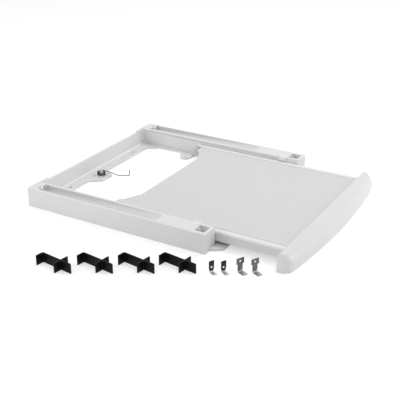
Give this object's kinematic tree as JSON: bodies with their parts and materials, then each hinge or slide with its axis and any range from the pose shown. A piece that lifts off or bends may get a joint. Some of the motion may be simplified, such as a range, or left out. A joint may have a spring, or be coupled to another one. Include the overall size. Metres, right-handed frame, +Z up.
{
  "type": "washer dryer stacking kit",
  "caption": "Low white frame that goes between a washer and a dryer, with a pull-out shelf on rollers, a wire catch, loose hooked plastic brackets and small bent steel clips.",
  "frame": {"origin": "middle of the frame's front edge, on its flat underside, in the plane of the posts' front faces", "axes": "+Z up from the washer to the dryer, -Y out of the front, the way the shelf pulls out, +X to the right as seen from the front"},
  "size_m": [0.8523, 0.788, 0.0565],
  "materials": {
    "frame_white": "satin moulded ABS",
    "track_white": "powder-coated steel strip",
    "shelf_white": "satin moulded ABS",
    "cover_white": "semi-gloss moulded ABS",
    "white_acetal": "smooth moulded acetal",
    "zinc": "zinc-plated steel",
    "spring_steel": "dark drawn spring wire",
    "black_plastic": "satin moulded polypropylene",
    "dark_steel": "blackened pressed steel",
    "grey_steel": "bare pressed steel"
  },
  "bodies": {
    "frame": {"left_side_rail": "frame_white", "right_side_rail": "frame_white", "rear_panel": "frame_white", "front_panel": "frame_white", "left_runner_track": "track_white", "right_runner_track": "track_white", "left_guide_block": "white_acetal", "right_guide_block": "white_acetal", "catch_post": "white_acetal", "left_front_roller_pin": "zinc", "right_front_roller_pin": "zinc", "rear_panel_screw_1": "zinc", "rear_panel_screw_2": "zinc", "front_panel_screw_1": "zinc", "front_panel_screw_2": "zinc", "catch_post_screw_1": "zinc", "left_track_screw_1": "zinc", "left_track_screw_2": "zinc", "left_track_screw_3": "zinc", "right_track_screw_1": "zinc", "right_track_screw_2": "zinc", "right_track_screw_3": "zinc", "plastic_bracket_1": "black_plastic", "plastic_bracket_2": "black_plastic", "plastic_bracket_3": "black_plastic", "plastic_bracket_4": "black_plastic", "short_steel_clip_1": "dark_steel", "short_steel_clip_2": "dark_steel", "long_steel_clip_1": "grey_steel", "long_steel_clip_2": "grey_steel"},
    "shelf": {"shelf_board": "shelf_white", "front_cover": "cover_white", "catch_track": "white_acetal", "left_rear_roller_pin": "zinc", "right_rear_roller_pin": "zinc", "cover_screw_1": "zinc", "cover_screw_2": "zinc", "cover_screw_3": "zinc", "cover_screw_4": "zinc", "catch_track_screw_1": "zinc", "catch_track_screw_2": "zinc"},
    "left_rear_roller": {"left_rear_roller": "white_acetal"},
    "right_rear_roller": {"right_rear_roller": "white_acetal"},
    "left_front_roller": {"left_front_roller": "white_acetal"},
    "right_front_roller": {"right_front_roller": "white_acetal"},
    "catch_spring": {"catch_spring": "spring_steel"}
  },
  "joints": [
    {"name": "shelf_slide", "type": "slide", "parent": "frame", "child": "shelf", "axis": [0, -1, 0], "range_m": [-0.1825, 0.092]},
    {"name": "left_rear_roller_spin", "type": "hinge", "parent": "shelf", "child": "left_rear_roller", "pos_m": [-0.246, 0.342, 0.0203], "axis": [1, 0, 0], "range_deg": [-870, 445]},
    {"name": "left_front_roller_spin", "type": "hinge", "parent": "frame", "child": "left_front_roller", "pos_m": [-0.2455, 0.046, 0.0084], "axis": [1, 0, 0], "range_deg": [-1510, 770]},
    {"name": "right_rear_roller_spin", "type": "hinge", "parent": "shelf", "child": "right_rear_roller", "pos_m": [0.246, 0.342, 0.0203], "axis": [1, 0, 0], "range_deg": [-870, 445]},
    {"name": "right_front_roller_spin", "type": "hinge", "parent": "frame", "child": "right_front_roller", "pos_m": [0.2455, 0.046, 0.0084], "axis": [1, 0, 0], "range_deg": [-1510, 770]},
    {"name": "catch_swing", "type": "hinge", "parent": "frame", "child": "catch_spring", "pos_m": [-0.037, 0.501, 0.0125], "axis": [0, 0, 1], "range_deg": [-7.5, 1.5], "stiffness_Nm_per_rad": 0.05}
  ],
  "couplings": [
    {"joint": "left_rear_roller_spin", "follows": "shelf_slide", "rad_per_m": 81.967},
    {"joint": "left_front_roller_spin", "follows": "shelf_slide", "rad_per_m": 142.86},
    {"joint": "right_rear_roller_spin", "follows": "shelf_slide", "rad_per_m": 81.967},
    {"joint": "right_front_roller_spin", "follows": "shelf_slide", "rad_per_m": 142.86}
  ]
}
